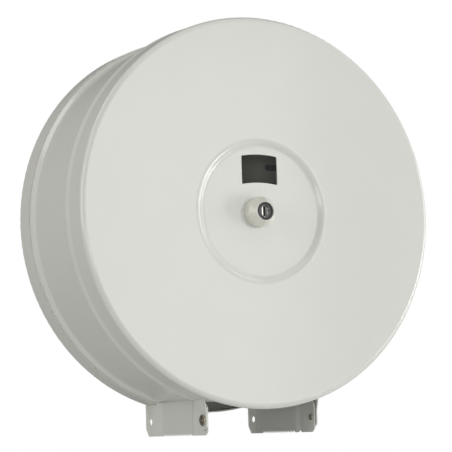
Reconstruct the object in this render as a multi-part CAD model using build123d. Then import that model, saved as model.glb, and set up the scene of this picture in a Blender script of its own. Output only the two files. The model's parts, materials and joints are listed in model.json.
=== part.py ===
from build123d import *
import math
import os

# Jumbo roll toilet paper dispenser, in millimetres. The origin is on the drum's axis in the plane of the wall. +Z is
# up, +Y points into the wall and the cover's face looks along -Y.

# Overall sizes
cover_radius = 155.0
overall_depth = 122.1
sheet = 1.0
overrun = 2.0

# Clearances
pivot_clearance = 0.06
seat_clearance = 0.05
axial_play = 0.15
panel_gap = 0.5

# Back pan: the round back plate and its short wall, which stands out a little past the cover's radius
pan_rim_step = 0.6
pan_depth = 19.0
pan_corner_radius = 1.2
slot_half_spacing_x = 82.0
slot_half_spacing_z = 53.4
slot_length = 22.0
slot_width = 5.2

# Drum wall: a collar inside the pan, a cone, the plain wall, and a neck that the cover closes over
cone_rear_depth = 21.4
cone_front_depth = 25.8
cone_height = 2.15
neck_step = 1.2
neck_overlap = 5.6
neck_joggle = 2.4
drum_bend_radius = 1.2

# Cover: front edge, rim flare, the lip left in front of the paper's mouth, and centre recess
front_edge_radius = 3.8
cover_depth = 28.1
flare_length = 5.5
flare_height = 1.0
flare_bend_radius = 3.0
mouth_lip = 0.4
recess_floor_radius = 52.1
recess_edge_radius = 55.7
recess_depth = 3.0
recess_inner_bend_radius = 4.0
recess_outer_bend_radius = 8.0

# Viewing window in the recess floor
window_half_width = 15.9
window_bottom = 21.2
window_top = 43.7
window_bottom_arc_radius = 83.0
window_top_arc_radius = 85.0
window_corner_radius = 0.9

# Side plates below the paper exit, with their notched edge
plate_thickness = 0.8
plate_outer_x = 48.1
panel_rear_inset = 1.9
panel_front_inset = 1.1
plate_reach = 18.9
plate_rear_gap = 0.3
rear_corner_length = 4.6
rear_corner_height = 6.2
front_corner_length = 3.8
front_corner_height = 2.8
rear_bend_start = 13.5
rear_bend_length = 14.9
front_step_inset = 11.7
front_step_length = 5.0
front_step_rise = 0.3
front_slope_length = 5.5
plate_front_reach = 4.5
ear_flange_inset = 5.6
top_chamfer = 3.0
relief_gap = 0.2
notch_pitch = 4.4
notch_width = 4.2
notch_height = 2.0
bend_notch_width = 4.6
bend_notch_height = 1.8
rear_hole_radius = 2.6
rear_hole_depth = 9.3

# Pressed fairing from each side plate up to the drum wall
fairing_rear_gap = 0.2
fairing_width = 21.2
fairing_drop = 0.9
fairing_edge = 0.5
fairing_ridge_rise = 2.2
fairing_station_shares = (0.0, 0.13, 0.3, 0.5, 0.65, 0.8, 0.91, 1.0)
fairing_width_shares = (0.26, 0.467, 0.66, 0.86, 0.957, 1.0, 0.84, 0.42)
fairing_ridge_shares = (0.06, 0.156, 0.335, 0.55, 0.69, 0.825, 0.70, 0.30)

# Hinge
pivot_inset = 16.4
pivot_reach = 7.2
hinge_screw_radius = 2.4
hinge_screw_end = 1.2
hinge_head_radius = 4.5
hinge_head_height = 1.2
hinge_washer_radius = 4.1
hinge_washer_thickness = 0.4
ear_thickness = 0.8
ear_end_radius = 7.8
ear_front_reach = 6.0
ear_rim_inset = 0.1
ear_splay = 2.2
ear_straight_height = 5.0
cross_recess_width = 0.8
cross_recess_length = 4.6
cross_recess_depth = 1.5

# Lock boss and lock, a little off the drum's axis
lock_x = -2.6
lock_z = -1.1
boss_radius = 11.9
boss_straight_height = 7.0
boss_height = 12.5
boss_nose_radius = 7.75
boss_edge_radius = 0.9
lock_radius = 7.15
lock_face_inset = 0.5
lock_flange_radius = 9.5
lock_flange_thickness = 1.5
lock_tail_inset = 16.0
plug_radius = 6.0
plug_inset = 0.4
insert_width = 6.7
insert_height = 10.2
insert_depth = 3.0
insert_inset = 0.1
insert_dish_depth = 1.2
keyway_width = 2.2
keyway_height = 8.4
shutter_inset = 1.4
shutter_thickness = 0.8
lock_washer_radius = 10.6
lock_washer_thickness = 0.8
lock_nut_flats = 18.0
lock_nut_height = 4.0
cam_square = 6.4
cam_thickness = 2.0
cam_width = 10.0
cam_reach = 17.0
cam_screw_radius = 3.7
cam_screw_head_height = 2.0
cam_screw_shank_radius = 1.6
cam_screw_length = 8.0

# Roll spindle and hub
spindle_base_radius = 29.0
spindle_base_thickness = 2.0
rivet_circle_radius = 22.0
rivet_shank_radius = 2.0
rivet_head_radius = 3.8
rivet_head_height = 1.2
rivet_count = 4
post_radius = 8.0
post_front_inset = 26.0
post_chamfer = 0.8
ring_groove_depth = 1.0
ring_groove_offset = 3.4
ring_thickness = 1.2
ring_radius = 11.2
ring_gap_width = 4.0
thrust_washer_thickness = 1.2
thrust_washer_radius = 13.0
hub_radius = 22.0
hub_wall = 2.4
hub_bearing_wall = 3.0
hub_web = 2.6
hub_rib_count = 6
hub_rib_thickness = 2.2
hub_flange_radius = 35.0
hub_flange_thickness = 2.4
hub_nose = 3.0

# Keeper for the lock cam
strike_thickness = 1.5
strike_width = 14.0
strike_top = 20.5
strike_lip_bottom = 9.5
strike_lip_gap = 1.0
strike_bend_radius = 1.0
strike_screw_spacing = 9.0
strike_screw_radius = 1.5
strike_screw_head_radius = 2.8
strike_screw_head_height = 1.8
strike_screw_length = 7.0

# Places worked out from the sizes above
rim_depth = overall_depth - cover_depth
flare_start_depth = rim_depth + flare_length
pivot_depth = overall_depth - pivot_inset
front_step_start = rim_depth - front_step_inset
front_step_end = front_step_start + front_step_length
front_slope_end = front_step_end + front_slope_length
rear_bend_end = rear_bend_start + rear_bend_length
notch_count = int((front_step_start - rear_bend_end) / notch_pitch)
front_y = -overall_depth
recess_y = front_y + recess_depth
recess_back_y = recess_y + sheet
rim_y = -rim_depth
shoulder_y = rim_y + panel_gap
fairing_front_y = shoulder_y + panel_gap
fairing_rear_y = -pan_depth - fairing_rear_gap
fairing_length = fairing_rear_y - fairing_front_y
pan_radius = cover_radius + pan_rim_step
pan_inner_radius = pan_radius - sheet
collar_radius = pan_inner_radius - seat_clearance
wall_radius = collar_radius - cone_height
neck_radius = wall_radius - neck_step
rim_radius = cover_radius + flare_height
plate_bottom = cover_radius + plate_reach
ear_flange_top = cover_radius - ear_flange_inset
pivot_drop = cover_radius + pivot_reach
pivot = Vector(0, -pivot_depth, -pivot_drop)
plate_inner_x = plate_outer_x - plate_thickness
plate_front_y = -pivot_depth - plate_front_reach
exit_half_width = plate_inner_x - panel_rear_inset
ear_inner_x = plate_outer_x + hinge_washer_thickness + axial_play
lock_hole_radius = lock_radius + seat_clearance
lock_nut_y = recess_back_y + lock_washer_thickness
cam_y = front_y + lock_tail_inset
post_front_y = front_y + post_front_inset
post_rear_y = -sheet
spindle_base_y = post_rear_y - spindle_base_thickness
ring_y = post_front_y + ring_groove_offset
front_washer_y = ring_y + ring_thickness + axial_play
hub_front_y = front_washer_y + thrust_washer_thickness + axial_play
rear_washer_y = spindle_base_y - axial_play
hub_rear_y = rear_washer_y - thrust_washer_thickness - axial_play
hub_bore_radius = post_radius + pivot_clearance
drum_bends = [drum_bend_radius, drum_bend_radius, drum_bend_radius, drum_bend_radius]
cover_bends = [recess_inner_bend_radius, recess_outer_bend_radius, front_edge_radius, flare_bend_radius]


def drum_z(radius, x):
    """Height of the underside of a cylinder about the drum's axis at a given x."""
    return -math.sqrt(radius**2 - x**2)


def along_y(radius, y_low, y_high, x=0, z=0):
    """A cylinder parallel to the drum's axis between two depths."""
    place = Plane(origin=(x, y_low, z), x_dir=(1, 0, 0), z_dir=(0, 1, 0))
    return extrude(place * Circle(radius), amount=y_high - y_low)


def along_x(radius, x_low, x_high, y=0, z=0):
    """A cylinder parallel to X."""
    place = Plane(origin=(x_low, y, z), x_dir=(0, 1, 0), z_dir=(1, 0, 0))
    return extrude(place * Circle(radius), amount=x_high - x_low)


def block(x_range, y_range, z_range):
    """A box between the given limits."""
    size = [high - low for low, high in (x_range, y_range, z_range)]
    centre = [(high + low) / 2 for low, high in (x_range, y_range, z_range)]
    return Pos(*centre) * Box(*size)


def turned(points):
    """A solid of revolution about the drum's axis from (radius, y) points."""
    return revolve(make_face(Polyline(*points, close=True)), Axis.Y, 360)


def pressed(points, radii):
    """Sheet metal of revolution: the outer surface's (radius, y) points, with the sheet laid on their inner side."""
    path = FilletPolyline(*points, radius=radii)
    section = make_face(offset(path, amount=sheet, side=Side.LEFT, closed=True).edges())
    return revolve(section, Axis.Y, 360)


def filled(points, radii):
    """The solid inside the same outer surface, from its first point's depth to its last point's depth."""
    path = FilletPolyline(*points, radius=radii)
    cap = Polyline(points[-1], (0, points[-1][1]), (0, points[0][1]), points[0])
    return revolve(make_face(path.edges() + cap.edges()), Axis.Y, 360)


def mirrored(shape):
    """The right-hand copy of a left-hand piece."""
    return mirror(shape, about=Plane.YZ)


def almond(width, height):
    """An upright pointed outline between two equal arcs."""
    radius = (width**2 + height**2) / (4 * width)
    reach = radius - width / 2
    return Pos(reach, 0) * Circle(radius) & Pos(-reach, 0) * Circle(radius)


def facing(y):
    """A sketch plane square to the drum's axis, seen from behind: its X is +X and its normal is +Y."""
    return Plane(origin=(0, y, 0), x_dir=(1, 0, 0), z_dir=(0, 1, 0))


# Back pan


def make_back_pan():
    inner_corner = pan_corner_radius - sheet
    outline = make_face(
        Polyline((0, 0), (pan_radius, 0), (pan_radius, -pan_depth), (pan_inner_radius, -pan_depth),
                 (pan_inner_radius, -sheet), (0, -sheet), close=True)
    )
    outer_corner = outline.vertices().sort_by_distance((pan_radius, 0))[0]
    outline = fillet(outer_corner, pan_corner_radius)
    pan = revolve(outline, Axis.Y, 360)
    inner_edge = pan.edges().filter_by(GeomType.CIRCLE).sort_by_distance((pan_inner_radius, -sheet, 0))[0]
    pan = fillet(inner_edge, inner_corner)
    slot = extrude(facing(-sheet - overrun) * SlotOverall(slot_length, slot_width), amount=sheet + 2 * overrun)
    for x in (-slot_half_spacing_x, slot_half_spacing_x):
        for z in (-slot_half_spacing_z, slot_half_spacing_z):
            pan -= Pos(x, 0, z) * slot
    for place in rivet_places():
        pan -= along_y(rivet_shank_radius + seat_clearance, -sheet - overrun, overrun, *place)
    return pan


# Drum wall


def drum_points():
    """Outer surface of the drum wall as (radius, y), from the neck's front edge back to the collar in the pan."""
    return [
        (neck_radius, rim_y - neck_overlap),
        (neck_radius, shoulder_y - neck_joggle),
        (wall_radius, shoulder_y),
        (wall_radius, -cone_front_depth),
        (collar_radius, -cone_rear_depth),
        (collar_radius, -pan_corner_radius),
    ]


def make_drum_wall():
    wall = pressed(drum_points(), drum_bends)
    mouth = block((-exit_half_width, exit_half_width), (rim_y - neck_overlap - overrun, -sheet / 2),
                  (-pan_radius - overrun, 0))
    return wall - mouth


def body_envelope():
    """Everything inside the outer surfaces of the drum wall and the back pan, for trimming what stands on them."""
    return filled(drum_points(), drum_bends) + along_y(pan_radius, -pan_depth, overrun)


# Side plates with their notched edge


def panel_x(y):
    """How far out the outer face of the plate's long panel lies: a little more toward the front."""
    share = (-rear_bend_end - y) / (front_step_start - rear_bend_end)
    return plate_outer_x - panel_rear_inset + share * (panel_rear_inset - panel_front_inset)


def plate_layout():
    """The plate from above: (x, y) of its outer face, from the front edge back to the wall."""
    return [
        (-plate_outer_x, plate_front_y),
        (-plate_outer_x, -front_slope_end),
        (-plate_outer_x - front_step_rise, -front_step_end),
        (-panel_x(-front_step_start), -front_step_start),
        (-panel_x(-rear_bend_end), -rear_bend_end),
        (-plate_outer_x, -rear_bend_start),
        (-plate_outer_x, -plate_rear_gap),
    ]


def plate_outline():
    """The plate from the side as (y, z): straight bottom, cut corners, and a low front part under the cover."""
    front = plate_front_y
    rear = -plate_rear_gap
    bottom = -plate_bottom
    step_y = rim_y + 2 * panel_gap
    return [
        (rear, bottom + rear_corner_height),
        (rear - rear_corner_length, bottom),
        (front + front_corner_length, bottom),
        (front, bottom + front_corner_height),
        (front, -ear_flange_top - top_chamfer),
        (front + top_chamfer, -ear_flange_top),
        (step_y, -ear_flange_top),
        (step_y, 0),
        (rear, 0),
    ]


def notch(y, width, height):
    """A pointed notch in the plate's lower edge."""
    bottom = -plate_bottom
    outline = Polyline((y - width / 2, bottom), (y, bottom + height), (y + width / 2, bottom),
                       (y + width / 2, bottom - overrun), (y - width / 2, bottom - overrun), close=True)
    return side_prism(make_face(outline))


def side_prism(sketch):
    """A (y, z) sketch run through the left side plate along X."""
    place = Plane(origin=(-plate_outer_x - overrun, 0, 0), x_dir=(0, 1, 0), z_dir=(1, 0, 0))
    return extrude(place * sketch, amount=plate_thickness + panel_rear_inset + 2 * overrun)


def fairing():
    """The pressed fairing: a thin hood from the plate's top edge over a ridge to a curved line on the drum wall."""
    sections = []
    shares = zip(fairing_station_shares, fairing_width_shares, fairing_ridge_shares)
    for along, across, ridge in shares:
        y = fairing_front_y + fairing_length * (1 - along)
        base_x = panel_x(y)
        low = drum_z(wall_radius, base_x) - fairing_drop
        out_x = base_x + fairing_width * across
        out_z = drum_z(wall_radius + fairing_edge, out_x)
        ridge_x = base_x + fairing_width * ridge
        ridge_z = drum_z(wall_radius + fairing_ridge_rise, ridge_x)
        place = Plane(origin=(0, y, 0), x_dir=(-1, 0, 0), z_dir=(0, 1, 0))
        corners = [(base_x - plate_thickness, low), (base_x, low), (ridge_x, ridge_z), (out_x, out_z),
                   (out_x, out_z + plate_thickness), (ridge_x, ridge_z + plate_thickness),
                   (base_x, low + plate_thickness), (base_x - plate_thickness, low + plate_thickness)]
        sections.append(place * make_face(Polyline(*corners, close=True)))
    return loft(sections)


def make_cutter_left(with_bend_notch):
    """A left-hand side plate. Only the right-hand one of the pair has the wide notch at its front step."""
    layout = Polyline(*plate_layout())
    strip = make_face(offset(layout, amount=plate_thickness, side=Side.RIGHT, closed=True).edges())
    tall = Pos(0, 0, -plate_bottom) * extrude(strip, amount=plate_bottom)
    plate = tall & side_prism(make_face(Polyline(*plate_outline(), close=True)))
    first_notch = -rear_bend_end - notch_pitch / 2
    for index in range(notch_count):
        plate -= notch(first_notch - index * notch_pitch, notch_width, notch_height)
    if with_bend_notch:
        plate -= notch(-front_step_end, bend_notch_width, bend_notch_height)
    plate -= along_x(rear_hole_radius, -plate_outer_x - overrun, -exit_half_width + overrun,
                     -rear_hole_depth, -pivot_drop)
    plate -= along_x(hinge_screw_radius + seat_clearance, -plate_outer_x - overrun, -exit_half_width + overrun,
                     -pivot_depth, -pivot_drop)
    relief = along_y(pan_radius + relief_gap, -pan_depth - relief_gap, overrun)
    piece = plate + fairing() - body_envelope() - relief
    return piece.solids().sort_by(SortBy.VOLUME)[-1]


# Cover


def cover_points():
    """Outer surface of the cover as (radius, y), from the middle of the recess out to the rim."""
    return [
        (0, recess_y),
        (recess_floor_radius, recess_y),
        (recess_edge_radius, front_y),
        (cover_radius, front_y),
        (cover_radius, -flare_start_depth),
        (rim_radius, rim_y),
    ]


def window_outline():
    """The window from the front as (x, z): upright sides between two arcs that both bulge upwards."""
    rise_top = window_top_arc_radius - math.sqrt(window_top_arc_radius**2 - window_half_width**2)
    rise_bottom = window_bottom_arc_radius - math.sqrt(window_bottom_arc_radius**2 - window_half_width**2)
    w = window_half_width
    lines = [
        ThreePointArc((-w, window_top), (0, window_top + rise_top), (w, window_top)),
        Line((w, window_top), (w, window_bottom)),
        ThreePointArc((w, window_bottom), (0, window_bottom + rise_bottom), (-w, window_bottom)),
        Line((-w, window_bottom), (-w, window_top)),
    ]
    return make_face(lines)


def make_cover_shell():
    shell = pressed(cover_points(), cover_bends)
    place = Plane(origin=(0, front_y - overrun, 0), x_dir=(-1, 0, 0), z_dir=(0, 1, 0))
    window = window_outline()
    window = fillet(window.vertices(), window_corner_radius)
    shell -= extrude(place * window, amount=recess_depth + sheet + 2 * overrun)
    mouth = block((-exit_half_width, exit_half_width), (front_y + front_edge_radius + mouth_lip, rim_y + overrun),
                  (-rim_radius - overrun, 0))
    return shell - mouth - along_y(lock_hole_radius, front_y - overrun, recess_back_y + overrun, lock_x, lock_z)


def cover_envelope():
    """Everything inside the cover's outer surface, for trimming what stands on it; its recess is plain."""
    return filled(cover_points()[1:], cover_bends[1:])


def make_hinge_ear_left():
    """The tab on the cover's wall: flat round the pivot, splayed outwards above it."""
    inner = ear_inner_x
    splayed = ear_inner_x + ear_splay
    bottom = pivot.Z - ear_end_radius
    bend_z = pivot.Z + ear_straight_height
    top = drum_z(cover_radius, splayed) + overrun
    place = Plane(origin=(0, pivot.Y, 0), x_dir=(-1, 0, 0), z_dir=(0, 1, 0))
    strip = make_face(Polyline((inner, bottom), (inner, bend_z), (splayed, top), (splayed + ear_thickness, top),
                               (inner + ear_thickness, bend_z), (inner + ear_thickness, bottom), close=True))
    front = pivot.Y - ear_front_reach
    rear = rim_y - ear_rim_inset
    tab = Pos(0, -ear_front_reach, 0) * extrude(place * strip, amount=rear - front)
    outer_x = splayed + ear_thickness + overrun
    keep = along_x(ear_end_radius, -outer_x, 0, pivot.Y, pivot.Z)
    keep += block((-outer_x, 0), (front, rear), (pivot.Z, 0))
    tab = tab & keep
    tab -= along_x(hinge_screw_radius + pivot_clearance, -outer_x, 0, pivot.Y, pivot.Z)
    return (tab - cover_envelope()).solids().sort_by(SortBy.VOLUME)[-1]


# Hinge fasteners


def make_hinge_screw_left():
    head_x = ear_inner_x + ear_thickness + axial_play
    head_top = head_x + hinge_head_height
    shank_end = plate_inner_x - hinge_screw_end
    screw = along_x(hinge_head_radius, -head_top, -head_x, pivot.Y, pivot.Z)
    rim = screw.faces().sort_by(Axis.X)[0].edges()
    screw = fillet(rim, hinge_head_height / 2)
    screw += along_x(hinge_screw_radius, -head_x, -shank_end, pivot.Y, pivot.Z)
    bar = Box(2 * cross_recess_depth, cross_recess_length, cross_recess_width)
    cross = bar + Rot(90, 0, 0) * bar
    return screw - Pos(-head_top, pivot.Y, pivot.Z) * cross


def make_hinge_washer_left():
    outside = along_x(hinge_washer_radius, -plate_outer_x - hinge_washer_thickness, -plate_outer_x, pivot.Y, pivot.Z)
    return outside - along_x(hinge_screw_radius + seat_clearance, -ear_inner_x - overrun, 0, pivot.Y, pivot.Z)


# Lock boss and lock


def on_lock_axis(piece):
    """A lock piece, drawn about the drum's axis, moved to its place on the lock's own axis."""
    return Pos(lock_x, 0, lock_z) * piece


def make_lock_bezel():
    nose_y = recess_y - boss_height
    step_y = recess_y - boss_straight_height
    bore = lock_radius + seat_clearance
    seat = lock_flange_radius + seat_clearance
    seat_y = recess_y - lock_flange_thickness - seat_clearance
    outline = make_face(Polyline((bore, nose_y), (boss_nose_radius, nose_y), (boss_radius, step_y),
                                 (boss_radius, recess_y), (seat, recess_y), (seat, seat_y), (bore, seat_y),
                                 close=True))
    shoulder = outline.vertices().sort_by_distance((boss_radius, step_y))[0]
    return revolve(fillet(shoulder, boss_edge_radius), Axis.Y, 360)


def make_lock_body():
    face_y = recess_y - boss_height + lock_face_inset
    bore = plug_radius + pivot_clearance
    body = turned([(bore, face_y), (lock_radius, face_y), (lock_radius, recess_y - lock_flange_thickness),
                   (lock_flange_radius, recess_y - lock_flange_thickness), (lock_flange_radius, recess_y),
                   (lock_radius, recess_y), (lock_radius, cam_y - axial_play), (bore, cam_y - axial_play)])
    return chamfer(body.edges().filter_by(GeomType.CIRCLE).sort_by_distance((lock_radius, face_y, 0))[0],
                   plug_inset)


def make_lock_plug():
    """The turning core: a round plug with a pocket for the keyway insert and a square tail for the cam."""
    face_y = recess_y - boss_height + lock_face_inset + plug_inset
    plug = along_y(plug_radius, face_y, cam_y)
    plug = chamfer(plug.faces().sort_by(Axis.Y)[0].edges(), plug_inset)
    tail = block((-cam_square / 2, cam_square / 2), (cam_y, cam_y + cam_thickness), (-cam_square / 2, cam_square / 2))
    plug += tail
    pocket = extrude(facing(face_y) * almond(insert_width, insert_height), amount=insert_depth)
    screw_hole = along_y(cam_screw_shank_radius + seat_clearance, cam_y + cam_thickness - cam_screw_length, 0)
    return plug - pocket - screw_hole


def make_keyway_insert():
    """The lining in the plug's pocket, hollowed at the front across its width and slotted for the key."""
    face_y = recess_y - boss_height + lock_face_inset + plug_inset
    front = face_y + insert_inset
    back = face_y + insert_depth
    width = insert_width - 2 * seat_clearance
    lining = extrude(facing(front) * almond(width, insert_height - 2 * seat_clearance), amount=back - front)
    dish_radius = (width**2 / 4 + insert_dish_depth**2) / (2 * insert_dish_depth)
    lining -= Pos(0, front + insert_dish_depth - dish_radius, 0) * Cylinder(dish_radius, 2 * insert_height)
    slot = extrude(facing(front - overrun) * Rectangle(keyway_width, keyway_height), amount=insert_depth + overrun)
    return lining - slot


def make_key_shutter():
    """The leaf that closes the key slot."""
    front = recess_y - boss_height + lock_face_inset + plug_inset + shutter_inset
    leaf = facing(front) * Rectangle(keyway_width - 2 * seat_clearance, keyway_height - 2 * seat_clearance)
    return extrude(leaf, amount=shutter_thickness)


def make_lock_washer():
    ring = along_y(lock_washer_radius, recess_back_y, lock_nut_y)
    return ring - along_y(lock_radius + seat_clearance, recess_back_y - overrun, lock_nut_y + overrun)


def make_lock_nut():
    hexagon = RegularPolygon(lock_nut_flats / 2, 6, major_radius=False)
    nut = extrude(facing(lock_nut_y) * hexagon, amount=lock_nut_height)
    return nut - along_y(lock_radius + seat_clearance, lock_nut_y - overrun, lock_nut_y + lock_nut_height + overrun)


def make_lock_cam():
    """The tongue, drawn in the unlocked place: it points to -X and a quarter turn brings it upright."""
    arm = Pos(-cam_reach / 2, 0) * Rectangle(cam_reach, cam_width)
    arm += Circle(cam_width / 2)
    arm = fillet(arm.vertices().group_by(Axis.X)[0], strike_bend_radius)
    cam = extrude(facing(cam_y) * arm, amount=cam_thickness)
    half = cam_square / 2 + seat_clearance
    return cam - block((-half, half), (cam_y - overrun, cam_y + cam_thickness + overrun), (-half, half))


def make_cam_screw():
    seat = cam_y + cam_thickness
    head = along_y(cam_screw_radius, seat, seat + cam_screw_head_height)
    head = fillet(head.faces().sort_by(Axis.Y)[-1].edges(), cam_screw_head_height / 3)
    shank_depth = cam_screw_length - axial_play
    screw = head + along_y(cam_screw_shank_radius, seat - shank_depth, seat)
    bar = Box(cross_recess_length, 2 * cross_recess_depth, cross_recess_width)
    return screw - Pos(0, seat + cam_screw_head_height, 0) * (bar + Rot(0, 90, 0) * bar)


# Roll spindle and hub


def rivet_places():
    """(x, z) of the rivets on their circle, between the axes."""
    step = 2 * math.pi / rivet_count
    return [
        (rivet_circle_radius * math.cos(step * (index + 1 / 2)), rivet_circle_radius * math.sin(step * (index + 1 / 2)))
        for index in range(rivet_count)
    ]


def make_spindle_base():
    flange = along_y(spindle_base_radius, spindle_base_y, post_rear_y)
    flange = fillet(flange.faces().sort_by(Axis.Y)[0].edges(), spindle_base_thickness / 2)
    flange -= along_y(post_radius + seat_clearance, spindle_base_y - overrun, 0)
    for place in rivet_places():
        flange -= along_y(rivet_shank_radius + seat_clearance, spindle_base_y - overrun, 0, *place)
    return flange


def make_spindle_rivets():
    rivets = []
    for place in rivet_places():
        head = along_y(rivet_head_radius, spindle_base_y - rivet_head_height, spindle_base_y, *place)
        head = fillet(head.faces().sort_by(Axis.Y)[0].edges(), rivet_head_height * 2 / 3)
        rivets.append((head + along_y(rivet_shank_radius, spindle_base_y, 0, *place)).solid())
    return Compound(children=rivets)


def make_spindle_post():
    post = along_y(post_radius, post_front_y, post_rear_y)
    post = chamfer(post.faces().sort_by(Axis.Y)[0].edges(), post_chamfer)
    groove = along_y(post_radius + overrun, ring_y, ring_y + ring_thickness)
    groove -= along_y(post_radius - ring_groove_depth, ring_y - overrun, ring_y + ring_thickness + overrun)
    post -= groove
    for x in (-strike_screw_spacing / 2, strike_screw_spacing / 2):
        post -= along_y(strike_screw_radius + seat_clearance, post_front_y - overrun,
                        post_front_y + strike_screw_length, x)
    return post


def make_retaining_ring():
    ring = along_y(ring_radius, ring_y + axial_play / 2, ring_y + ring_thickness - axial_play / 2)
    ring -= along_y(post_radius - ring_groove_depth + seat_clearance, ring_y - overrun, ring_y + 2 * overrun)
    gap = block((-ring_gap_width / 2, ring_gap_width / 2), (ring_y - overrun, ring_y + ring_thickness + overrun),
                (-ring_radius - overrun, 0))
    return ring - gap


def make_thrust_washers():
    washers = []
    for front in (front_washer_y, rear_washer_y - thrust_washer_thickness):
        ring = along_y(thrust_washer_radius, front, front + thrust_washer_thickness)
        bore = along_y(post_radius + seat_clearance, front - overrun, front + thrust_washer_thickness + overrun)
        washers.append((ring - bore).solid())
    return Compound(children=washers)


def make_roll_hub():
    """The turning core holder: a sleeve and a bearing tube joined by webs and ribs, with a stop flange at the rear."""
    bearing_radius = hub_bore_radius + hub_bearing_wall
    sleeve_inner = hub_radius - hub_wall
    sleeve = turned([(sleeve_inner, hub_front_y), (hub_radius - hub_nose, hub_front_y),
                     (hub_radius, hub_front_y + 2 * hub_nose), (hub_radius, hub_rear_y), (sleeve_inner, hub_rear_y)])
    bearing = along_y(bearing_radius, hub_front_y, hub_rear_y)
    hub = sleeve + bearing
    web_y = hub_rear_y - hub_flange_thickness
    flange = along_y(hub_flange_radius, web_y, hub_rear_y)
    hub += fillet(flange.edges().filter_by(GeomType.CIRCLE), hub_flange_thickness / 4)
    hub += along_y(hub_radius - hub_wall / 2, hub_front_y + 2 * hub_nose, hub_front_y + 2 * hub_nose + hub_web)
    rib = block((bearing_radius - hub_bearing_wall / 2, hub_radius - hub_wall / 2),
                (hub_front_y + 2 * hub_nose, hub_rear_y), (-hub_rib_thickness / 2, hub_rib_thickness / 2))
    for index in range(hub_rib_count):
        hub += Rot(0, index * 360 / hub_rib_count, 0) * rib
    return hub - along_y(hub_bore_radius, hub_front_y - overrun, hub_rear_y + overrun)


# Keeper for the lock cam


def make_strike_plate():
    """A bent strip on the post's end: its lip hangs in front of the cam when the cam is upright."""
    base_y = post_front_y - strike_thickness
    lip_y = cam_y - strike_lip_gap - strike_thickness
    bottom = -post_radius
    path = FilletPolyline((base_y + strike_thickness, bottom), (base_y + strike_thickness, strike_top),
                          (lip_y, strike_top), (lip_y, strike_lip_bottom),
                          radius=strike_bend_radius + strike_thickness)
    strip = make_face(offset(path, amount=strike_thickness, side=Side.LEFT, closed=True).edges())
    place = Plane(origin=(-strike_width / 2, 0, 0), x_dir=(0, 1, 0), z_dir=(1, 0, 0))
    keeper = extrude(place * strip, amount=strike_width)
    for x in (-strike_screw_spacing / 2, strike_screw_spacing / 2):
        keeper -= along_y(strike_screw_radius + seat_clearance, base_y - overrun, post_front_y + overrun, x)
    return keeper


def make_strike_screws():
    screws = []
    seat = post_front_y - strike_thickness
    for x in (-strike_screw_spacing / 2, strike_screw_spacing / 2):
        head = along_y(strike_screw_head_radius, seat - strike_screw_head_height, seat, x)
        head = fillet(head.faces().sort_by(Axis.Y)[0].edges(), strike_screw_head_height / 3)
        shank = along_y(strike_screw_radius, seat, seat + strike_screw_length, x)
        screws.append((head + shank).solid())
    return Compound(children=screws)


def pair(left):
    """A left-hand piece and its mirror image as one group of two solids."""
    return Compound(children=[left.solid(), mirrored(left).solid()])


cutter_left = make_cutter_left(with_bend_notch=False)
hinge_ear_left = make_hinge_ear_left()

nodes = {
    "back_pan": make_back_pan(),
    "drum_wall": make_drum_wall(),
    "cutter_left": cutter_left,
    "cutter_right": mirrored(make_cutter_left(with_bend_notch=True)),
    "cover_shell": make_cover_shell(),
    "hinge_ear_left": hinge_ear_left,
    "hinge_ear_right": mirrored(hinge_ear_left),
    "hinge_screws": pair(make_hinge_screw_left()),
    "hinge_washers": pair(make_hinge_washer_left()),
    "lock_bezel": on_lock_axis(make_lock_bezel()),
    "lock_body": on_lock_axis(make_lock_body()),
    "lock_plug": on_lock_axis(make_lock_plug()),
    "keyway_insert": on_lock_axis(make_keyway_insert()),
    "key_shutter": on_lock_axis(make_key_shutter()),
    "lock_washer": on_lock_axis(make_lock_washer()),
    "lock_nut": on_lock_axis(make_lock_nut()),
    "lock_cam": on_lock_axis(make_lock_cam()),
    "cam_screw": on_lock_axis(make_cam_screw()),
    "spindle_base": make_spindle_base(),
    "spindle_rivets": make_spindle_rivets(),
    "spindle_post": make_spindle_post(),
    "retaining_ring": make_retaining_ring(),
    "thrust_washers": make_thrust_washers(),
    "roll_hub": make_roll_hub(),
    "strike_plate": make_strike_plate(),
    "strike_screws": make_strike_screws(),
}

os.makedirs("parts", exist_ok=True)
for name, shape in nodes.items():
    export_step(shape, "parts/" + name + ".step")
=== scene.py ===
import json
import math

import bpy
from mathutils import Matrix, Vector


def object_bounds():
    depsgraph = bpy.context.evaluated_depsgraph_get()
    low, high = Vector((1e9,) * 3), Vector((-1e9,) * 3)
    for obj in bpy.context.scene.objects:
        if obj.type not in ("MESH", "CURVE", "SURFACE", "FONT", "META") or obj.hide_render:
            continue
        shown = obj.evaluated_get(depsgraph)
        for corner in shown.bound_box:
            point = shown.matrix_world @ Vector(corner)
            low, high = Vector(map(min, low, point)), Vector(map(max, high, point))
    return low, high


# Jumbo roll toilet paper dispenser: the finish of every piece, the studio and the camera. Lengths are in metres, in
# the part's own frame: origin on the drum's axis in the wall's plane, +Z up, the cover's face towards -Y.
# Directions are in degrees: azimuth 0 is in front of the object and 90 is on its +X side.

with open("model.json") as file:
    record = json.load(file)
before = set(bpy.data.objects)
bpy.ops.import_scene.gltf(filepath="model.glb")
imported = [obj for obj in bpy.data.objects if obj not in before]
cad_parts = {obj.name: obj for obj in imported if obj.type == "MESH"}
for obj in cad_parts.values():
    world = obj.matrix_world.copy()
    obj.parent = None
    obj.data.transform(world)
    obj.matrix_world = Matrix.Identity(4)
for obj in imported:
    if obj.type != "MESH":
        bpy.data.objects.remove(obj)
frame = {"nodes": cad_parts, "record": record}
cad_low, cad_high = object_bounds()
nodes = frame["nodes"]
centre = (cad_low + cad_high) / 2
reach = max(cad_high - cad_low)
MM = 0.001

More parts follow.
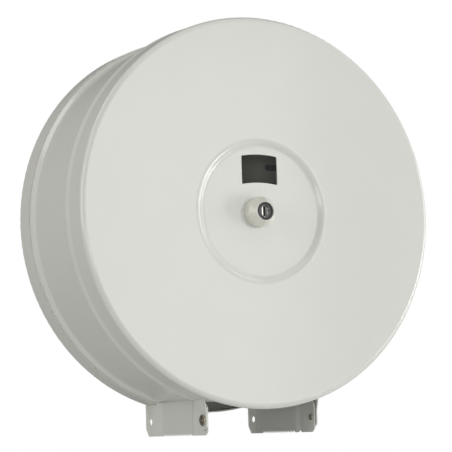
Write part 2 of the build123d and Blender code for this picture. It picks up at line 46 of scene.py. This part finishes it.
# Camera, as the photograph was taken: left of the front and a little below the drum's axis, looking up
CAMERA_AZIMUTH = -27.99
CAMERA_ELEVATION = -6.01
CAMERA_ROLL = -1.76
CAMERA_DISTANCE = 1556.5 * MM
CAMERA_TARGET = Vector((-0.67, -61.3, -5.41)) * MM
IMAGE_WIDTH = 452
FOCAL_PIXELS = 1913.9
SENSOR_WIDTH = 36.0
NEAREST_SEEN = reach / 10
FARTHEST_SEEN = reach * 100

# Stage
FLOOR_DROP = 2.2 * reach
FLOOR_RADIUS = 16 * reach
FLOOR_SIDES = 96
FLOOR_COLOUR = (0.8, 0.8, 0.79)
FLOOR_GLOW = (0.5, 0.5, 0.495)
STAGE_ROUGHNESS = 0.9

# The back plate's four slots, each with a dark card of the stage behind it: painted shade, as dark as where a wall
# close behind keeps the light out
SLOT_PLACES = [(x, z) for x in (-82.0 * MM, 82.0 * MM) for z in (-53.4 * MM, 53.4 * MM)]
SLOT_CARD_SIZE = (26.0 * MM, 9.0 * MM)
SLOT_CARD_GAP = 0.6 * MM
SLOT_SHADE_COLOUR = (0.28, 0.28, 0.3)

# Light
BACKGROUND_COLOUR = (1.0, 1.0, 1.0)
AMBIENT_COLOUR = (1.0, 1.0, 0.985)
AMBIENT_STRENGTH = 0.162
NEUTRAL = (1.0, 1.0, 0.99)
WARM = (1.0, 0.995, 0.96)
# name: azimuth, elevation, distance, width and height in reaches of the object, radiance, colour
SOFTBOXES = {
    "front_right": (17, 4, 5.0, 2.4, 2.4, 2.65, NEUTRAL),
    "right": (60, 0, 5.0, 1.0, 3.0, 4.6, NEUTRAL),
    "right_low": (58, -13, 5.0, 0.5, 1.7, 14.0, NEUTRAL),
    "far_right": (75, 0, 5.0, 1.5, 2.5, 4.7, NEUTRAL),
    "right_high": (60, 40, 5.0, 2.0, 1.5, 2.1, NEUTRAL),
    "camera_side": (-27.8, -5, 5.0, 1.2, 1.0, 7.7, NEUTRAL),
    "front_low": (5, -20, 5.0, 2.0, 1.0, 0.7, NEUTRAL),
    "right_front_low": (46, -20, 5.0, 1.5, 0.7, 0.8, NEUTRAL),
    "right_under": (42, -36, 2.6, 0.8, 0.4, 0.5, NEUTRAL),
    "top_front": (5, 60, 5.0, 4.0, 3.0, 1.3, NEUTRAL),
    "left": (-70, 15, 5.0, 2.5, 3.5, 2.3, WARM),
    "far_left": (-88, 8, 5.0, 1.0, 2.5, 4.2, WARM),
    "back_left_high": (-120, 45, 5.0, 2.5, 2.0, 2.1, WARM),
}

# Finishes: the part of a noise's range that is spread over a tone or a roughness, and how many times the grain's size
# the patches of tone and of gloss are
NOISE_SPAN = (0.3, 0.7)
METAL_SPAN = (0.35, 0.65)
METAL_PATCH, METAL_GLOSS = 8, 3
MOULDED_PATCH, MOULDED_GLOSS = 20, 4
COATING_IOR = 1.5


# Camera and placing


def aim(eye, target, roll_degrees=0.0):
    """A placement at eye that looks at target, with +Z up and then rolled about the line of sight."""
    forward = (target - eye).normalized()
    right = forward.cross(Vector((0, 0, 1))).normalized()
    up = right.cross(forward)
    roll = math.radians(roll_degrees)
    rolled_right = right * math.cos(roll) + up * math.sin(roll)
    rolled_up = up * math.cos(roll) - right * math.sin(roll)
    placement = Matrix.Identity(4)
    for column, axis in enumerate((rolled_right, rolled_up, -forward, eye)):
        for row in range(3):
            placement[row][column] = axis[row]
    return placement


def towards(azimuth, elevation):
    """The direction from the object to a place round it."""
    a = math.radians(azimuth)
    e = math.radians(elevation)
    return Vector((math.sin(a) * math.cos(e), -math.cos(a) * math.cos(e), math.sin(e)))


def add_object(name, data):
    thing = bpy.data.objects.new(name, data)
    bpy.context.scene.collection.objects.link(thing)
    return thing


def make_camera():
    data = bpy.data.cameras.new("camera")
    data.sensor_width = SENSOR_WIDTH
    data.lens = FOCAL_PIXELS * SENSOR_WIDTH / IMAGE_WIDTH
    data.clip_start = NEAREST_SEEN
    data.clip_end = FARTHEST_SEEN
    camera = add_object("camera", data)
    eye = CAMERA_TARGET + towards(CAMERA_AZIMUTH, CAMERA_ELEVATION) * CAMERA_DISTANCE
    camera.matrix_world = aim(eye, CAMERA_TARGET, CAMERA_ROLL)
    bpy.context.scene.camera = camera


# Node helpers


def new_material(name):
    """A material with one shader, and its tree and shader."""
    material = bpy.data.materials.new(name)
    material.use_nodes = True
    tree = material.node_tree
    tree.nodes.clear()
    output = tree.nodes.new("ShaderNodeOutputMaterial")
    shader = tree.nodes.new("ShaderNodeBsdfPrincipled")
    tree.links.new(shader.outputs["BSDF"], output.inputs["Surface"])
    return material, tree, shader


def noise(tree, place, size, detail, roughness=0.5):
    """Noise whose cells are about size metres across."""
    mapping = tree.nodes.new("ShaderNodeMapping")
    mapping.inputs["Scale"].default_value = [1 / size] * 3
    texture = tree.nodes.new("ShaderNodeTexNoise")
    texture.inputs["Scale"].default_value = 1.0
    texture.inputs["Detail"].default_value = detail
    texture.inputs["Roughness"].default_value = roughness
    tree.links.new(place, mapping.inputs["Vector"])
    tree.links.new(mapping.outputs["Vector"], texture.inputs["Vector"])
    return texture.outputs["Fac"]


def ramp(tree, value, span, result=(0.0, 1.0)):
    """The value's span, from its low to its high end, spread over the result's."""
    node = tree.nodes.new("ShaderNodeMapRange")
    node.inputs["From Min"].default_value, node.inputs["From Max"].default_value = span
    node.inputs["To Min"].default_value, node.inputs["To Max"].default_value = result
    tree.links.new(value, node.inputs["Value"])
    return node.outputs["Result"]


def blend_colour(tree, amount, first, second):
    node = tree.nodes.new("ShaderNodeMix")
    node.data_type = "RGBA"
    tree.links.new(amount, node.inputs["Factor"])
    node.inputs["A"].default_value = (*first, 1.0)
    node.inputs["B"].default_value = (*second, 1.0)
    return node.outputs["Result"]


def bump(tree, height, depth):
    node = tree.nodes.new("ShaderNodeBump")
    node.inputs["Distance"].default_value = depth
    node.inputs["Strength"].default_value = 1.0
    tree.links.new(height, node.inputs["Height"])
    return node.outputs["Normal"]


# Materials


def finish(name, tones, sheen, depth, patches, gloss, grain, patch_span=NOISE_SPAN):
    """A material whose colour wanders between two tones and whose roughness wanders over the sheen's range, under a
    grain of the given depth. Each of the three noises is given as its size, its detail and, if need be, its roughness.
    """
    material, tree, shader = new_material(name)
    place = tree.nodes.new("ShaderNodeTexCoord").outputs["Object"]
    tone = ramp(tree, noise(tree, place, *patches), patch_span)
    tree.links.new(blend_colour(tree, tone, *tones), shader.inputs["Base Color"])
    roughness = ramp(tree, noise(tree, place, *gloss), NOISE_SPAN, sheen)
    tree.links.new(roughness, shader.inputs["Roughness"])
    tree.links.new(bump(tree, noise(tree, place, *grain), depth), shader.inputs["Normal"])
    return material, shader


def powder_coat():
    """White satin powder coat on steel: fine orange peel, faint mottling and a little variation in its sheen."""
    material, shader = finish(
        "white_powder_coat", ((0.650, 0.656, 0.618), (0.660, 0.666, 0.628)), sheen=(0.17, 0.2), depth=0.002 * MM,
        patches=(40 * MM, 3.0), gloss=(6 * MM, 3.0), grain=(0.9 * MM, 2.0))
    shader.inputs["IOR"].default_value = COATING_IOR
    return material


def boss_plastic():
    """Slightly warm white moulded plastic."""
    return finish(
        "white_boss_plastic", ((0.632, 0.629, 0.566), (0.662, 0.658, 0.6)), sheen=(0.19, 0.26), depth=0.006 * MM,
        patches=(5 * MM, 3.0), gloss=(1.5 * MM, 2.0), grain=(0.6 * MM, 2.0))[0]


def metal(name, dark, light, sheen, grain, depth):
    """Plated or bare metal with fine patches of tone and a fine grain."""
    material, shader = finish(
        name, (dark, light), sheen, depth, patches=(grain * METAL_PATCH, 4.0, 0.6),
        gloss=(grain * METAL_GLOSS, 3.0), grain=(grain, 2.0), patch_span=METAL_SPAN)
    shader.inputs["Metallic"].default_value = 1.0
    return material


def moulded(name, dark, light, sheen, grain, depth):
    """Moulded plastic with a fine even texture."""
    return finish(
        name, (dark, light), sheen, depth, patches=(grain * MOULDED_PATCH, 3.0),
        gloss=(grain * MOULDED_GLOSS, 2.0), grain=(grain, 3.0))[0]


def dress():
    """Gives every node of the frame its finish, by the record's material slots."""
    # The metals' and plastics' values: dark tone, light tone, range of roughness, size and depth of the grain
    finishes = {
        "white_paint": powder_coat(),
        "white_plastic": boss_plastic(),
        "dark_metal": metal(
            "dark_lock_metal", (0.064, 0.064, 0.065), (0.092, 0.092, 0.093), (0.3, 0.42), 0.25 * MM, 0.004 * MM),
        "chrome": metal(
            "dark_chrome", (0.30, 0.29, 0.27), (0.38, 0.37, 0.35), (0.2, 0.3), 0.4 * MM, 0.002 * MM),
        "black_steel": metal(
            "black_oxide", (0.02, 0.02, 0.022), (0.035, 0.034, 0.035), (0.45, 0.6), 0.2 * MM, 0.004 * MM),
        "zinc_screw": metal(
            "dull_zinc", (0.42, 0.38, 0.31), (0.56, 0.52, 0.44), (0.24, 0.38), 0.3 * MM, 0.004 * MM),
        "zinc_steel": metal(
            "bright_zinc", (0.5, 0.51, 0.52), (0.62, 0.63, 0.64), (0.25, 0.42), 0.5 * MM, 0.006 * MM),
        "hub_plastic": moulded(
            "hub_plastic", (0.4, 0.41, 0.42), (0.46, 0.47, 0.48), (0.45, 0.6), 0.4 * MM, 0.01 * MM),
        "nylon": moulded(
            "nylon", (0.62, 0.6, 0.54), (0.7, 0.68, 0.62), (0.4, 0.5), 0.4 * MM, 0.006 * MM),
    }
    for part in frame["record"]["subparts"]:
        node = nodes[part["node"]]
        node.data.materials.clear()
        node.data.materials.append(finishes[part["material_slot"]])


# Stage


def plain_material(name, colour):
    """A matt material of the stage, and its tree and shader."""
    material, tree, shader = new_material(name)
    shader.inputs["Base Color"].default_value = (*colour, 1.0)
    shader.inputs["Roughness"].default_value = STAGE_ROUGHNESS
    return material, tree, shader


def add_stage_face(name, corners, material):
    mesh = bpy.data.meshes.new(name)
    mesh.from_pydata(corners, [], [tuple(range(len(corners)))])
    mesh.materials.append(material)
    add_object(name, mesh)


def make_floor():
    """A pale floor. Its glow is for the camera alone and doesn't light the object."""
    material, tree, shader = plain_material("pale_floor", FLOOR_COLOUR)
    rays = tree.nodes.new("ShaderNodeLightPath")
    shader.inputs["Emission Color"].default_value = (*FLOOR_GLOW, 1.0)
    tree.links.new(rays.outputs["Is Camera Ray"], shader.inputs["Emission Strength"])
    corners = []
    for side in range(FLOOR_SIDES):
        turn = 2 * math.pi * side / FLOOR_SIDES
        x = centre.x + FLOOR_RADIUS * math.cos(turn)
        y = centre.y + FLOOR_RADIUS * math.sin(turn)
        corners.append((x, y, cad_low.z - FLOOR_DROP))
    add_stage_face("floor", corners, material)


def make_slot_shade_cards():
    # Dark cards just behind the slots: painted shade seen through them, not a part of the object
    material = plain_material("slot_shade", SLOT_SHADE_COLOUR)[0]
    half_width, half_height = (size / 2 for size in SLOT_CARD_SIZE)
    y = cad_high.y + SLOT_CARD_GAP
    for number, (x, z) in enumerate(SLOT_PLACES, start=1):
        left, right = x - half_width, x + half_width
        bottom, top = z - half_height, z + half_height
        corners = [(left, y, bottom), (right, y, bottom), (right, y, top), (left, y, top)]
        add_stage_face(f"slot_card_{number}", corners, material)


# Light


def background(tree, colour, strength=1.0):
    node = tree.nodes.new("ShaderNodeBackground")
    node.inputs["Color"].default_value = (*colour, 1.0)
    node.inputs["Strength"].default_value = strength
    return node.outputs["Background"]


def make_world():
    """A plain white background for the camera and a softer light from all round for the object."""
    world = bpy.data.worlds.new("studio")
    bpy.context.scene.world = world
    world.use_nodes = True
    tree = world.node_tree
    tree.nodes.clear()
    output = tree.nodes.new("ShaderNodeOutputWorld")
    seen = background(tree, BACKGROUND_COLOUR)
    lit = background(tree, AMBIENT_COLOUR, AMBIENT_STRENGTH)
    choose = tree.nodes.new("ShaderNodeMixShader")
    rays = tree.nodes.new("ShaderNodeLightPath")
    tree.links.new(rays.outputs["Is Camera Ray"], choose.inputs["Fac"])
    # The node's two shader inputs share one name, so they are told apart by their number
    tree.links.new(lit, choose.inputs[1])
    tree.links.new(seen, choose.inputs[2])
    tree.links.new(choose.outputs["Shader"], output.inputs["Surface"])


def make_softbox(name, azimuth, elevation, distance, width, height, radiance, colour):
    """A rectangular light that faces the object and isn't seen by the camera."""
    data = bpy.data.lights.new(name, "AREA")
    data.shape = "RECTANGLE"
    data.size = width * reach
    data.size_y = height * reach
    data.energy = radiance * math.pi * data.size * data.size_y
    data.color = colour
    light = add_object(name, data)
    eye = centre + towards(azimuth, elevation) * distance * reach
    light.matrix_world = aim(eye, centre)
    light.visible_camera = False


make_camera()
dress()
make_world()
make_floor()
make_slot_shade_cards()
for softbox, values in SOFTBOXES.items():
    make_softbox(softbox, *values)
bpy.context.scene.view_settings.view_transform = "Standard"
